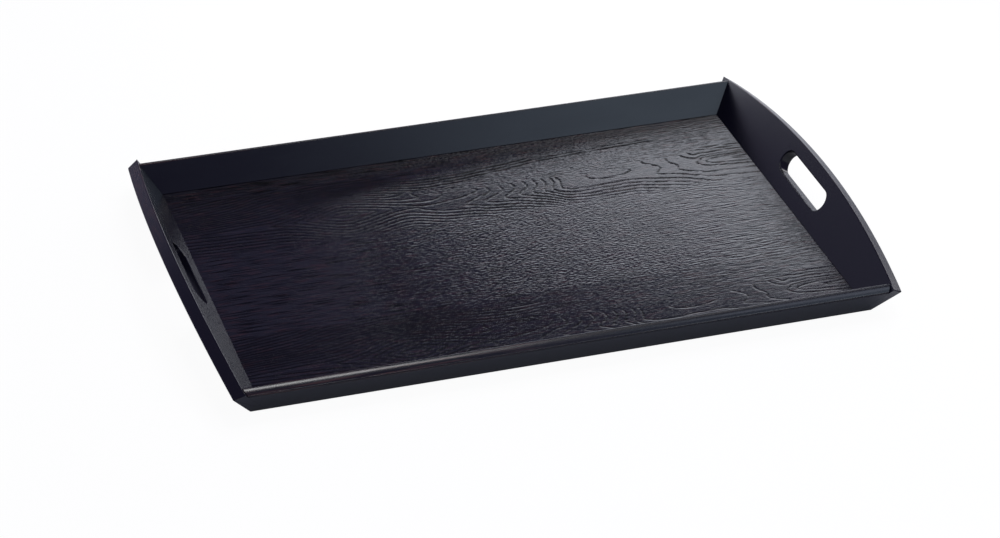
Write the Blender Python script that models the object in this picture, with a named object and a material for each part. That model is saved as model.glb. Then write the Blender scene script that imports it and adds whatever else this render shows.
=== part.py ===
"""Stacking serving tray: four flared boards, dowelled at the corners, round a veneered floor panel.

The end boards are arched and have a stadium-shaped hand slot each.  The tray stands on the
boards' lower edges, and the panel sits in a rabbet a little above them.  The origin is the
centre of the plane that the tray stands on, +X runs along the tray and +Z up.  All sizes are
in metres.
"""

import math

import bmesh
import bpy
from mathutils import Matrix, Vector

MM = 0.001

# Driving dimensions: the floor and the flare of the boards round it
FLOOR_LENGTH = 526 * MM
FLOOR_WIDTH = 337 * MM
FLARE = math.radians(35)

# Long boards: height is measured up the slope, from the floor to the arrises of the crest
LONG_THICKNESS = 9 * MM
LONG_HEIGHT = 30 * MM
CREST_RADIUS = 16 * MM
CREST_ARRIS = 0.6 * MM

# End boards: the crown is the arch's highest point, and the arch ends a step above the crest
END_THICKNESS = 11 * MM
CROWN_HEIGHT = 49 * MM
CORNER_STEP = 1 * MM
END_EDGE_RADIUS = 0.8 * MM

# Hand slots: the bridge is the wood left between the slot and the crown
SLOT_LENGTH = 90 * MM
SLOT_WIDTH = 20 * MM
SLOT_BRIDGE = 13 * MM

# Floor panel: an oak face and a backing on a plywood core, let into the boards from below
FACE_VENEER = 0.6 * MM
CORE_THICKNESS = 5.5 * MM
BACKING_VENEER = 0.4 * MM
PANEL_RECESS = 1 * MM
STANDING_EDGE = 2.7 * MM

# The oak face is two leaves side by side; the front one is what is left in front of their seam
FRONT_LEAF_WIDTH = 92 * MM

# Corner dowels: the cover is the wood left between a dowel's hole and the outer face
DOWEL_DIAMETER = 4 * MM
DOWEL_LENGTH = 24 * MM
DOWEL_CHAMFER = 0.4 * MM
DOWEL_COVER = 3.2 * MM
DOWEL_HEIGHT_SHARES = (0.27, 0.73)

# Clearances, and how far a cutter runs past what it cuts
GLUE_GAP = 0.3 * MM
OVERRUN = 6 * MM
WELD = 0.001 * MM

# Facets of the curved edges
ARCH_STEPS = 36
SLOT_END_STEPS = 12
CREST_STEPS = 6
EDGE_STEPS = 1
DOWEL_SIDES = 20
SMOOTH_BELOW = math.radians(30)

# Heights above the plane that the tray stands on
BACKING_BOTTOM = PANEL_RECESS
CORE_BOTTOM = BACKING_BOTTOM + BACKING_VENEER
CORE_TOP = CORE_BOTTOM + CORE_THICKNESS
FLOOR_TOP = CORE_TOP + FACE_VENEER

# Shares of a slope's length that go up and out
RISE_SHARE = math.cos(FLARE)
SPREAD_SHARE = math.sin(FLARE)
SPREAD_PER_RISE_SHARE = math.tan(FLARE)

# The rabbet: what is left of the long boards' foot, past the standing edge, is cut away
LONG_FOOT = LONG_THICKNESS / RISE_SHARE - FLOOR_TOP * SPREAD_PER_RISE_SHARE
RABBET = LONG_FOOT - STANDING_EDGE
PANEL_HALF_LENGTH = FLOOR_LENGTH / 2 + RABBET - GLUE_GAP
PANEL_HALF_WIDTH = FLOOR_WIDTH / 2 + RABBET - GLUE_GAP
LEAF_SEAM = FRONT_LEAF_WIDTH - PANEL_HALF_WIDTH

# The whole tray's reach, for cutters that must take in all of it
REACH_X = FLOOR_LENGTH / 2 + CROWN_HEIGHT * SPREAD_SHARE + END_THICKNESS + OVERRUN
REACH_Y = FLOOR_WIDTH / 2 + CROWN_HEIGHT * SPREAD_SHARE + LONG_THICKNESS / RISE_SHARE + OVERRUN
REACH_Z = FLOOR_TOP + CROWN_HEIGHT + OVERRUN

# Each board's foot, as a distance from the tray's centre and a turn from the back board's place
BOARD_PLACES = {
    "back_board": (FLOOR_WIDTH / 2, 0.0),
    "front_board": (FLOOR_WIDTH / 2, math.pi),
    "right_end_board": (FLOOR_LENGTH / 2, -math.pi / 2),
    "left_end_board": (FLOOR_LENGTH / 2, math.pi / 2),
}


def clear_scene():
    for item in list(bpy.data.objects):
        bpy.data.objects.remove(item, do_unlink=True)


def new_collection(name):
    collection = bpy.data.collections.new(name)
    bpy.context.scene.collection.children.link(collection)
    return collection


def new_material(name, colour, roughness, metallic=0.0):
    material = bpy.data.materials.new(name)
    material.use_nodes = True
    shader = material.node_tree.nodes["Principled BSDF"]
    shader.inputs["Base Color"].default_value = (*colour, 1.0)
    shader.inputs["Roughness"].default_value = roughness
    shader.inputs["Metallic"].default_value = metallic
    material.diffuse_color = (*colour, 1.0)
    return material


def as_part(item, material):
    """Hangs a finished piece on the tray's origin and gives it its material."""
    item.data.materials.clear()
    item.data.materials.append(material)
    item.parent = TRAY_ORIGIN
    TRAY.objects.link(item)
    return item


def as_cutter(item):
    item.hide_render = True
    item.display_type = "WIRE"
    CUTTERS.objects.link(item)
    return item


def cut(piece, cutter):
    modifier = piece.modifiers.new("cut_" + cutter.name, "BOOLEAN")
    modifier.operation = "DIFFERENCE"
    modifier.solver = "EXACT"
    modifier.object = cutter


def smooth(mesh):
    mesh.shade_smooth()
    mesh.set_sharp_from_angle(angle=SMOOTH_BELOW)


def box(name, low, high, frame=None):
    """A closed box between two corners of a frame; both ends of a shared plane match exactly."""
    shape = bmesh.new()
    bmesh.ops.create_cube(shape, size=1.0)
    for vert in shape.verts:
        vert.co = Vector([high[i] if vert.co[i] > 0 else low[i] for i in range(3)])
    mesh = bpy.data.meshes.new(name)
    shape.to_mesh(mesh)
    shape.free()
    item = bpy.data.objects.new(name, mesh)
    if frame is not None:
        item.matrix_world = frame
    return item


def rod(name, radius, length, chamfer=0.0):
    """A round rod along X, centred on its own origin, with its two end edges eased."""
    shape = bmesh.new()
    bmesh.ops.create_cone(
        shape, cap_ends=True, segments=DOWEL_SIDES,
        radius1=radius, radius2=radius, depth=length,
    )
    if chamfer:
        rims = [edge for edge in shape.edges if abs(edge.verts[0].co.z - edge.verts[1].co.z) < WELD]
        bmesh.ops.bevel(
            shape, geom=rims, offset=chamfer, offset_type="OFFSET", segments=1,
            profile=0.5, affect="EDGES", material=-1,
        )
    bmesh.ops.rotate(shape, verts=shape.verts, matrix=Matrix.Rotation(math.pi / 2, 3, "Y"))
    mesh = bpy.data.meshes.new(name)
    shape.to_mesh(mesh)
    shape.free()
    smooth(mesh)
    return bpy.data.objects.new(name, mesh)


def plate(name, outlines, thickness, edge_radius, frame):
    """A flat plate of the given outlines (the first outside, the others holes), as a mesh."""
    curve = bpy.data.curves.new(name + "_outline", "CURVE")
    curve.dimensions = "2D"
    curve.fill_mode = "BOTH"
    curve.extrude = thickness / 2 - edge_radius
    curve.bevel_depth = edge_radius
    curve.bevel_resolution = EDGE_STEPS
    curve.offset = -edge_radius
    for outline in outlines:
        spline = curve.splines.new("POLY")
        spline.points.add(len(outline) - 1)
        for point, (across, up) in zip(spline.points, outline):
            point.co = (across, up, 0, 1)
        spline.use_cyclic_u = True
    guide = bpy.data.objects.new(name + "_outline", curve)
    guide.matrix_world = frame
    CUTTERS.objects.link(guide)
    bpy.context.view_layer.update()
    mesh = bpy.data.meshes.new_from_object(guide.evaluated_get(bpy.context.evaluated_depsgraph_get()))
    shape = bmesh.new()
    shape.from_mesh(mesh)
    bmesh.ops.remove_doubles(shape, verts=shape.verts, dist=WELD)
    bmesh.ops.recalc_face_normals(shape, faces=shape.faces)
    shape.to_mesh(mesh)
    shape.free()
    smooth(mesh)
    mesh.name = name
    item = bpy.data.objects.new(name, mesh)
    item.matrix_world = guide.matrix_world.copy()
    bpy.data.objects.remove(guide, do_unlink=True)
    bpy.data.curves.remove(curve)
    return item


def board_frame(name):
    """A board's own axes: X along it, Y up its slope from the floor, Z out of its outer face."""
    reach, turn = BOARD_PLACES[name]
    lean = Matrix.Rotation(math.pi / 2 - FLARE, 4, "X") @ Matrix.Rotation(math.pi, 4, "Y")
    seat = Matrix.Translation((0, reach, FLOOR_TOP))
    return Matrix.Rotation(turn, 4, "Z") @ seat @ lean


def crest_outline():
    """A long board's section: across its thickness and up its slope, with a gently round crest."""
    bottom = -FLOOR_TOP / RISE_SHARE - OVERRUN
    middle = LONG_THICKNESS / 2
    centre = LONG_HEIGHT - math.sqrt(CREST_RADIUS**2 - middle**2)
    crest = []
    for step in range(CREST_STEPS + 1):
        across = CREST_ARRIS + (LONG_THICKNESS - 2 * CREST_ARRIS) * step / CREST_STEPS
        crest.append((across, centre + math.sqrt(CREST_RADIUS**2 - (across - middle) ** 2)))
    shoulder = LONG_HEIGHT - CREST_ARRIS
    foot = [(LONG_THICKNESS, shoulder), (LONG_THICKNESS, bottom), (0.0, bottom), (0.0, shoulder)]
    return crest + foot


def arch_outline():
    """An end board's outline: across the tray and up its slope, longer than it ends up."""
    corner_height = LONG_HEIGHT + CORNER_STEP
    corner_reach = FLOOR_WIDTH / 2 + corner_height * SPREAD_SHARE
    fall = CROWN_HEIGHT - corner_height
    radius = (corner_reach**2 + fall**2) / (2 * fall)
    half_angle = math.asin(REACH_Y / radius)
    bottom = -FLOOR_TOP / RISE_SHARE - OVERRUN
    points = [(-REACH_Y, bottom), (REACH_Y, bottom)]
    for step in range(ARCH_STEPS + 1):
        angle = half_angle * (1 - 2 * step / ARCH_STEPS)
        points.append((radius * math.sin(angle), CROWN_HEIGHT - radius * (1 - math.cos(angle))))
    return points


def slot_outline():
    """The hand slot: a straight run with a full round at each end, wound against the arch."""
    radius = SLOT_WIDTH / 2
    run = SLOT_LENGTH / 2 - radius
    middle = CROWN_HEIGHT - SLOT_BRIDGE - radius
    points = []
    for side in (1, -1):
        for step in range(SLOT_END_STEPS + 1):
            angle = math.pi * (step / SLOT_END_STEPS - 1 / 2)
            across = run + radius * math.cos(angle)
            points.append((side * across, middle + side * radius * math.sin(angle)))
    return points[::-1]


def dowel_places():
    """Each dowel's name, the boards that it joins, and its centre."""
    hole_radius = DOWEL_DIAMETER / 2 + GLUE_GAP
    bite = (END_THICKNESS - DOWEL_COVER - hole_radius * SPREAD_SHARE) / RISE_SHARE - GLUE_GAP
    for end, side_x in (("left", -1), ("right", 1)):
        for side, side_y in (("front", -1), ("back", 1)):
            for level, share in zip(("low", "high"), DOWEL_HEIGHT_SHARES):
                up = share * LONG_HEIGHT
                out = up * SPREAD_SHARE + LONG_THICKNESS / 2 * RISE_SHARE
                rise = up * RISE_SHARE - LONG_THICKNESS / 2 * SPREAD_SHARE
                joint = FLOOR_LENGTH / 2 + rise * SPREAD_PER_RISE_SHARE
                centre_x = joint + bite - DOWEL_LENGTH / 2
                yield (
                    f"corner_dowel_{end}_{side}_{level}",
                    (side + "_board", end + "_end_board"),
                    Vector((side_x * centre_x, side_y * (FLOOR_WIDTH / 2 + out), FLOOR_TOP + rise)),
                )


def make_long_board(name, material):
    section = board_frame(name) @ Matrix.Rotation(-math.pi / 2, 4, "Y")
    board = plate(name, [crest_outline()], 2 * REACH_X, 0.0, section)
    return as_part(board, material)


def make_end_board(name, material):
    middle = Matrix.Translation((0, 0, END_THICKNESS / 2))
    outlines = [arch_outline(), slot_outline()]
    board = plate(name, outlines, END_THICKNESS, END_EDGE_RADIUS, board_frame(name) @ middle)
    return as_part(board, material)


def make_sheet(name, bottom, top, material, front=-PANEL_HALF_WIDTH, back=PANEL_HALF_WIDTH):
    """A sheet of the floor panel, as long as the panel and, unless told otherwise, as wide."""
    low = (-PANEL_HALF_LENGTH, front, bottom)
    high = (PANEL_HALF_LENGTH, back, top)
    return as_part(box(name, low, high), material)


def zone_cutter(name, frame_name, start):
    """Everything that lies past a plane parallel to a board's faces, on its outer side."""
    low = (-REACH_X, -REACH_Z, start)
    high = (REACH_X, 2 * REACH_Z, start + REACH_Z)
    return as_cutter(box(name, low, high, board_frame(frame_name)))


clear_scene()
TRAY = new_collection("stacking_serving_tray")
CUTTERS = new_collection("cutters")
TRAY_ORIGIN = bpy.data.objects.new("tray_origin", None)
TRAY.objects.link(TRAY_ORIGIN)

BLACK_LACQUER = new_material("black_lacquered_wood", (0.018, 0.017, 0.022), 0.38)
BLACK_OAK = new_material("black_oak_veneer", (0.022, 0.020, 0.024), 0.42)
PLYWOOD = new_material("plywood_core", (0.48, 0.34, 0.20), 0.65)
BLACK_BACKING = new_material("black_backing", (0.014, 0.014, 0.016), 0.55)
BEECH = new_material("beech_dowel", (0.56, 0.38, 0.24), 0.60)

# Boards
boards = {
    "front_board": make_long_board("front_board", BLACK_LACQUER),
    "back_board": make_long_board("back_board", BLACK_LACQUER),
    "left_end_board": make_end_board("left_end_board", BLACK_LACQUER),
    "right_end_board": make_end_board("right_end_board", BLACK_LACQUER),
}

# The long boards stop at the end boards, whose own ends are flush with the long boards' faces
left_zone = zone_cutter("left_end_zone", "left_end_board", -GLUE_GAP)
right_zone = zone_cutter("right_end_zone", "right_end_board", -GLUE_GAP)
front_zone = zone_cutter("front_zone", "front_board", LONG_THICKNESS)
back_zone = zone_cutter("back_zone", "back_board", LONG_THICKNESS)
for name in ("front_board", "back_board"):
    cut(boards[name], left_zone)
    cut(boards[name], right_zone)
for name in ("left_end_board", "right_end_board"):
    cut(boards[name], front_zone)
    cut(boards[name], back_zone)

# All four stand on one plane, and share one rabbet that takes the panel from below
ground = as_cutter(box("ground", (-REACH_X, -REACH_Y, -REACH_Z), (REACH_X, REACH_Y, 0)))
rabbet_low = (-FLOOR_LENGTH / 2 - RABBET, -FLOOR_WIDTH / 2 - RABBET, -REACH_Z)
rabbet_high = (FLOOR_LENGTH / 2 + RABBET, FLOOR_WIDTH / 2 + RABBET, FLOOR_TOP + GLUE_GAP)
rabbet = as_cutter(box("rabbet", rabbet_low, rabbet_high))
for board in boards.values():
    cut(board, ground)
    cut(board, rabbet)

# Floor panel
make_sheet("backing_veneer", BACKING_BOTTOM, CORE_BOTTOM, BLACK_BACKING)
make_sheet("panel_core", CORE_BOTTOM, CORE_TOP, PLYWOOD)
make_sheet("front_veneer_leaf", CORE_TOP, FLOOR_TOP, BLACK_OAK, back=LEAF_SEAM)
make_sheet("back_veneer_leaf", CORE_TOP, FLOOR_TOP, BLACK_OAK, front=LEAF_SEAM)

# Corner dowels and their holes
for name, joined, centre in dowel_places():
    dowel = rod(name, DOWEL_DIAMETER / 2, DOWEL_LENGTH, DOWEL_CHAMFER)
    dowel.location = centre
    as_part(dowel, BEECH)
    hole = rod("hole_" + name, DOWEL_DIAMETER / 2 + GLUE_GAP, DOWEL_LENGTH + 2 * GLUE_GAP)
    hole.location = centre
    as_cutter(hole)
    for board_name in joined:
        cut(boards[board_name], hole)

bpy.context.view_layer.update()
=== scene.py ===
# %% [markdown]
# A black serving tray, from its working model to its finish.
# The tray is four flared boards round a veneered floor. Its working model already holds every piece at its
# real size, so this lesson only dresses it: it loads that model as a fixed frame, sets the camera and the
# lights, makes each board anew with fine edges, and gives every piece a real finish.

# %% Load the working model
import math

import bmesh
import bpy
from mathutils import Matrix, Quaternion, Vector


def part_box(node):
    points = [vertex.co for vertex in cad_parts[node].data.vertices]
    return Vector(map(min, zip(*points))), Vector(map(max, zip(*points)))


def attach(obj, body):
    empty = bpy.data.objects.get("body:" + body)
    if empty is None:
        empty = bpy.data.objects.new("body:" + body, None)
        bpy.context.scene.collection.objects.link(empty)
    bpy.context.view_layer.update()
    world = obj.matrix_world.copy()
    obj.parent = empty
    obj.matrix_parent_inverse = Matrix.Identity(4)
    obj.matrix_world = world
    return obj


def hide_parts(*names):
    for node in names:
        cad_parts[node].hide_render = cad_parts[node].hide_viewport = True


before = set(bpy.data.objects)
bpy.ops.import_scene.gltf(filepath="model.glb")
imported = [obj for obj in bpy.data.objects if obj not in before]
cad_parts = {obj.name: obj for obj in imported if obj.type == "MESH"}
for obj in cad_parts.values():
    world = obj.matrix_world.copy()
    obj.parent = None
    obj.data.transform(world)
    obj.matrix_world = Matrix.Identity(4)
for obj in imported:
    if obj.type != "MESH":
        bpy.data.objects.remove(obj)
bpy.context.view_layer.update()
MM = 0.001
print("nodes:", ", ".join(sorted(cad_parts)))

# %% [markdown]
# Sizes come from the working model where it gives them: the top of the veneer is the floor's height, and
# the veneer's edges lie a glue line inside the rabbet that the boards share. The rest are the tray's few
# driving sizes, written once as a joiner would note them, and everything else is worked out from these.

# %% Sizes
LEAF_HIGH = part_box("back_veneer_leaf")[1]
FLOOR_TOP = LEAF_HIGH.z
GLUE_GAP = 0.3 * MM
RABBET_X = LEAF_HIGH.x + GLUE_GAP
RABBET_Y = LEAF_HIGH.y + GLUE_GAP
RABBET_TOP = FLOOR_TOP + GLUE_GAP

FLARE = math.radians(35)
RISE_SHARE = math.cos(FLARE)
SPREAD_SHARE = math.sin(FLARE)
LONG_THICKNESS = 9 * MM
LONG_HEIGHT = 30 * MM
CREST_RADIUS = 16 * MM
END_THICKNESS = 11 * MM
CROWN_HEIGHT = 49 * MM
CORNER_STEP = 1 * MM
SLOT_LENGTH = 90 * MM
SLOT_WIDTH = 20 * MM
SLOT_BRIDGE = 13 * MM
STANDING_EDGE = 2.7 * MM

LONG_FOOT = LONG_THICKNESS / RISE_SHARE - FLOOR_TOP * math.tan(FLARE)
HALF_LENGTH = RABBET_X - (LONG_FOOT - STANDING_EDGE)
HALF_WIDTH = RABBET_Y - (LONG_FOOT - STANDING_EDGE)
print("floor in mm:", round(2 * HALF_LENGTH / MM, 2), "x", round(2 * HALF_WIDTH / MM, 2))

# %% [markdown]
# The camera. The photograph was solved for the camera that took it, by fitting the tray's corners, arches
# and slots: a long lens almost three metres away, so the tray's sides hardly converge. The camera's three
# axes are worked out from the turn, the rise and the roll, and become the columns of its matrix.

# %% Camera
CAMERA_TURN = math.radians(-18.688)
CAMERA_RISE = math.radians(31.703)
CAMERA_ROLL = math.radians(1.258)
CAMERA_DISTANCE = 2.7985
CAMERA_TARGET = Vector((-0.01488, -0.03453, FLOOR_TOP))
LENS_MM = 117.53
SENSOR_MM = 36.0


def direction(turn, rise):
    """A unit vector: turn is from -Y towards +X, and rise is above the horizon."""
    level = math.cos(rise)
    return Vector((math.sin(turn) * level, -math.cos(turn) * level, math.sin(rise)))


def make_camera():
    back = direction(CAMERA_TURN, CAMERA_RISE)
    right = Vector((0, 0, 1)).cross(back).normalized()
    up = back.cross(right)
    rolled_right = math.cos(CAMERA_ROLL) * right + math.sin(CAMERA_ROLL) * up
    rolled_up = math.cos(CAMERA_ROLL) * up - math.sin(CAMERA_ROLL) * right
    camera = bpy.data.objects.new("camera", bpy.data.cameras.new("camera"))
    camera.data.lens = LENS_MM
    camera.data.sensor_width = SENSOR_MM
    axes = Matrix((rolled_right, rolled_up, back)).transposed().to_4x4()
    camera.matrix_world = Matrix.Translation(CAMERA_TARGET + back * CAMERA_DISTANCE) @ axes
    bpy.context.scene.collection.objects.link(camera)
    return camera


bpy.context.scene.camera = make_camera()
bpy.context.scene.view_settings.view_transform = "Standard"
print("camera at", [round(value, 3) for value in bpy.context.scene.camera.location])

# %% [markdown]
# The studio. The tray stands on a pale floor that runs out of the picture. The camera sees the floor and
# the room as white. The tray's reflections see something else: a grey floor that the lamps light, with the
# tray's own shadow on it and a faint glow of its own, and a dim room. From below the floor is clear, so
# that the tray's underside can be looked at too.

# %% Floor and room
STAGE_SIZE = 12.0
STAGE_GREY = (0.68, 0.68, 0.68, 1.0)
STAGE_WHITE = 1.08
SHADOW_SHARE = 0.12
STAGE_GLOW = 0.04
ROOM_LIGHT = (0.105, 0.098, 0.185, 1.0)
ROOM_WHITE = (1, 1, 1, 1)


def link(tree, source, target):
    tree.links.new(source, target)


def empty_tree(owner, output):
    """Clears the nodes of a material or a world, and returns the tree and its surface socket."""
    owner.use_nodes = True
    tree = owner.node_tree
    tree.nodes.clear()
    return tree, tree.nodes.new(output).inputs["Surface"]


def set_shader(tree, kind, label, value):
    """A shader node with one of its sockets set."""
    node = tree.nodes.new(kind)
    node.inputs[label].default_value = value
    return node.outputs[0]


def mix_shaders(tree, share, first, second):
    node = tree.nodes.new("ShaderNodeMixShader")
    for socket, source in zip(node.inputs, (share, first, second)):
        link(tree, source, socket)
    return node.outputs[0]


def make_stage_paint():
    material = bpy.data.materials.new("pale_floor")
    tree, surface = empty_tree(material, "ShaderNodeOutputMaterial")
    lit = tree.nodes.new("ShaderNodeAddShader")
    link(tree, set_shader(tree, "ShaderNodeBsdfDiffuse", "Color", STAGE_GREY), lit.inputs[0])
    link(tree, set_shader(tree, "ShaderNodeEmission", "Strength", STAGE_GLOW), lit.inputs[1])
    white = set_shader(tree, "ShaderNodeEmission", "Strength", STAGE_WHITE)
    clear = tree.nodes.new("ShaderNodeBsdfTransparent").outputs[0]
    share = tree.nodes.new("ShaderNodeMath")
    share.operation = "MULTIPLY"
    link(tree, tree.nodes.new("ShaderNodeLightPath").outputs["Is Camera Ray"], share.inputs[0])
    share.inputs[1].default_value = 1 - SHADOW_SHARE
    from_above = mix_shaders(tree, share.outputs[0], lit.outputs[0], white)
    from_below = tree.nodes.new("ShaderNodeNewGeometry").outputs["Backfacing"]
    link(tree, mix_shaders(tree, from_below, from_above, clear), surface)
    return material


def make_stage():
    mesh = bpy.data.meshes.new("pale_floor")
    sheet = bmesh.new()
    bmesh.ops.create_grid(sheet, x_segments=1, y_segments=1, size=STAGE_SIZE / 2)
    sheet.to_mesh(mesh)
    sheet.free()
    stage = bpy.data.objects.new("pale_floor", mesh)
    bpy.context.scene.collection.objects.link(stage)
    mesh.materials.append(make_stage_paint())


def make_room():
    world = bpy.data.worlds.new("room")
    tree, surface = empty_tree(world, "ShaderNodeOutputWorld")
    dim = set_shader(tree, "ShaderNodeBackground", "Color", ROOM_LIGHT)
    white = set_shader(tree, "ShaderNodeBackground", "Color", ROOM_WHITE)
    camera_ray = tree.nodes.new("ShaderNodeLightPath").outputs["Is Camera Ray"]
    link(tree, mix_shaders(tree, camera_ray, dim, white), surface)
    bpy.context.scene.world = world


make_stage()
make_room()
print("floor:", STAGE_SIZE, "m square")

# %% [markdown]
# The lamps. Black lacquer shows almost nothing but what it mirrors, so each lamp stands where one face of
# the tray mirrors it to the camera, and its size and brightness come from the sheen on that face. The
# window makes the sheen that fades over the floor from right to left. The overhead lamp draws the streak
# on the front crest, and top_right and crest_fill widen it. The rest light the right arch's top edge, the
# back board's inner face and, faintly, the right board's inner face. Even light from all round would be
# simpler, but it greys the black.

# %% Lamps
AIM = Vector((0, 0, FLOOR_TOP))


def softbox(name, turn, rise, distance, width, height, brightness, tint=(1, 1, 1), roll=0):
    """A rectangular lamp that looks at the tray; brightness is what a mirror would show of it."""
    lamp = bpy.data.lights.new(name, "AREA")
    lamp.color = tint
    lamp.shape = "RECTANGLE"
    lamp.size = width
    lamp.size_y = height
    lamp.energy = brightness * math.pi * width * height
    item = bpy.data.objects.new(name, lamp)
    toward = direction(math.radians(turn), math.radians(rise))
    item.location = AIM + toward * distance
    facing = toward.to_track_quat("Z", "Y") @ Quaternion((0, 0, 1), math.radians(roll))
    item.rotation_euler = facing.to_euler()
    item.visible_camera = False
    bpy.context.scene.collection.objects.link(item)


softbox(
    "window", turn=151, rise=14.5, distance=0.54, width=0.6, height=0.21,
    brightness=2.2, tint=(0.96, 1, 1.06), roll=-13,
)
softbox("overhead", turn=33.7, rise=82.5, distance=2.22, width=0.55, height=0.37, brightness=12.0, roll=-33.7)
softbox("top_right", turn=121, rise=61, distance=2.4, width=0.9, height=0.8, brightness=4.0)
softbox("arch_light", turn=124, rise=12, distance=1.6, width=0.7, height=0.4, brightness=2.5)
softbox(
    "front_fill", turn=43, rise=36, distance=2.6, width=1.6, height=1.2,
    brightness=1.2, tint=(0.82, 1.03, 1.2),
)
softbox(
    "crest_fill", turn=58, rise=57, distance=2.72, width=0.7, height=0.7,
    brightness=1.8, tint=(0.88, 1, 1.2),
)
softbox(
    "back_sweep", turn=218, rise=10, distance=3.0, width=2.4, height=1.0,
    brightness=0.15, tint=(0.95, 0.95, 1.2),
)
print("lamps:", ", ".join(lamp.name for lamp in bpy.data.lights))

# %% [markdown]
# The finishes are built from nodes only. Sums in node form get long, so small helpers keep them short: a
# Math node, a smooth step, a curve through a few given points, and a noise that is drawn out along the
# grain. Each takes plain numbers or sockets and returns a socket, so that a formula reads almost as it
# would on paper.

# %% Helpers for node sums
NOISE_MIDDLE = 0.5


def feed(tree, socket, value):
    """Puts a number or a colour on a socket, or links another socket to it."""
    if isinstance(value, bpy.types.NodeSocket):
        link(tree, value, socket)
    else:
        socket.default_value = value


def calc(tree, operation, *values):
    node = tree.nodes.new("ShaderNodeMath")
    node.operation = operation
    for socket, value in zip(node.inputs, values):
        feed(tree, socket, value)
    return node.outputs[0]


def product(tree, value, *others):
    for other in others:
        value = calc(tree, "MULTIPLY", value, other)
    return value


def rise(tree, value, low, high, start=0.0, end=1.0):
    """A smooth change from start to end while the value goes from low to high."""
    node = tree.nodes.new("ShaderNodeMapRange")
    node.interpolation_type = "SMOOTHSTEP"
    for socket, number in zip(node.inputs, (value, low, high, start, end)):
        feed(tree, socket, number)
    return node.outputs[0]


def profile(tree, value, points):
    """A smooth curve through a few points, for a size that changes along a board or a sheet."""
    across = [point[0] for point in points]
    up = [point[1] for point in points]
    width = max(across) - min(across)
    height = max(up) - min(up)
    node = tree.nodes.new("ShaderNodeFloatCurve")
    line = node.mapping.curves[0]
    spots = [((x - min(across)) / width, (y - min(up)) / height) for x, y in points]
    line.points[0].location = spots[0]
    line.points[1].location = spots[-1]
    for spot in spots[1:-1]:
        line.points.new(*spot)
    for point in line.points:
        point.handle_type = "AUTO_CLAMPED"
    node.mapping.update()
    share = calc(tree, "DIVIDE", calc(tree, "SUBTRACT", value, min(across)), width)
    feed(tree, node.inputs["Value"], share)
    return calc(tree, "MULTIPLY_ADD", node.outputs[0], height, min(up))


def mix_value(tree, share, first, second):
    change = calc(tree, "SUBTRACT", second, first)
    return calc(tree, "MULTIPLY_ADD", change, share, first)


def mix_colour(tree, share, first, second):
    node = tree.nodes.new("ShaderNodeMix")
    node.data_type = "RGBA"
    feed(tree, node.inputs["Factor"], share)
    feed(tree, node.inputs["A"], first)
    feed(tree, node.inputs["B"], second)
    return node.outputs["Result"]


def split(tree, vector):
    node = tree.nodes.new("ShaderNodeSeparateXYZ")
    feed(tree, node.inputs[0], vector)
    return node.outputs


def place(tree, across, up, through=0.0):
    node = tree.nodes.new("ShaderNodeCombineXYZ")
    for socket, value in zip(node.inputs, (across, up, through)):
        feed(tree, socket, value)
    return node.outputs[0]


def noise(tree, vector, scale, detail, roughness=0.5):
    """Noise from 0 to 1, about even on both sides of its middle."""
    node = tree.nodes.new("ShaderNodeTexNoise")
    feed(tree, node.inputs["Vector"], vector)
    node.inputs["Scale"].default_value = scale
    node.inputs["Detail"].default_value = detail
    node.inputs["Roughness"].default_value = roughness
    return node.outputs


def grain_noise(tree, spot, stretch, *look):
    """Noise drawn out along the grain; stretch says how many times longer than wide it is."""
    along, across, through = spot
    drawn_out = place(tree, calc(tree, "DIVIDE", along, stretch), across, through)
    return noise(tree, drawn_out, *look)[0]


# %% [markdown]
# A finish that several pieces share is a node group, built once and placed in each material with its own
# values. Every material reads its place from the Object coordinates, turned so that X runs along the
# grain, and counts it in millimetres, as a joiner's drawing does. The group's height goes through a Bump
# node, because real displacement would need millions of faces for pores a tenth of a millimetre deep.

# %% Helpers for groups and materials
def new_group(name, inputs, outputs):
    """An empty node group; its sockets are given by name and type."""
    group = bpy.data.node_groups.new(name, "ShaderNodeTree")
    for label, kind in inputs:
        group.interface.new_socket(name=label, in_out="INPUT", socket_type="NodeSocket" + kind)
    for label, kind in outputs:
        group.interface.new_socket(name=label, in_out="OUTPUT", socket_type="NodeSocket" + kind)
    return group, group.nodes.new("NodeGroupInput").outputs, group.nodes.new("NodeGroupOutput").inputs


def use_group(tree, group, values):
    node = tree.nodes.new("ShaderNodeGroup")
    node.node_tree = group
    for label, value in values.items():
        feed(tree, node.inputs[label], value)
    return node.outputs


def new_material(name, turn=0.0, shift=(0, 0)):
    """A material with its places in millimetres, turned about the upright so that X runs along the grain."""
    material = bpy.data.materials.new(name)
    material.use_nodes = True
    tree = material.node_tree
    spot = tree.nodes.new("ShaderNodeTexCoord")
    bench = tree.nodes.new("ShaderNodeMapping")
    link(tree, spot.outputs["Object"], bench.inputs["Vector"])
    bench.inputs["Scale"].default_value = (1 / MM, 1 / MM, 1 / MM)
    bench.inputs["Rotation"].default_value = (0, 0, turn)
    bench.inputs["Location"].default_value = (*shift, 0)
    return material, bench.outputs[0]


def dress(material, made):
    """Feeds a group's colour, roughness and height to the material's shader."""
    tree = material.node_tree
    shader = tree.nodes["Principled BSDF"]
    relief = tree.nodes.new("ShaderNodeBump")
    relief.inputs["Distance"].default_value = MM
    link(tree, made["Height"], relief.inputs["Height"])
    link(tree, made["Color"], shader.inputs["Base Color"])
    link(tree, made["Roughness"], shader.inputs["Roughness"])
    link(tree, relief.outputs[0], shader.inputs["Normal"])
    return material


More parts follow.
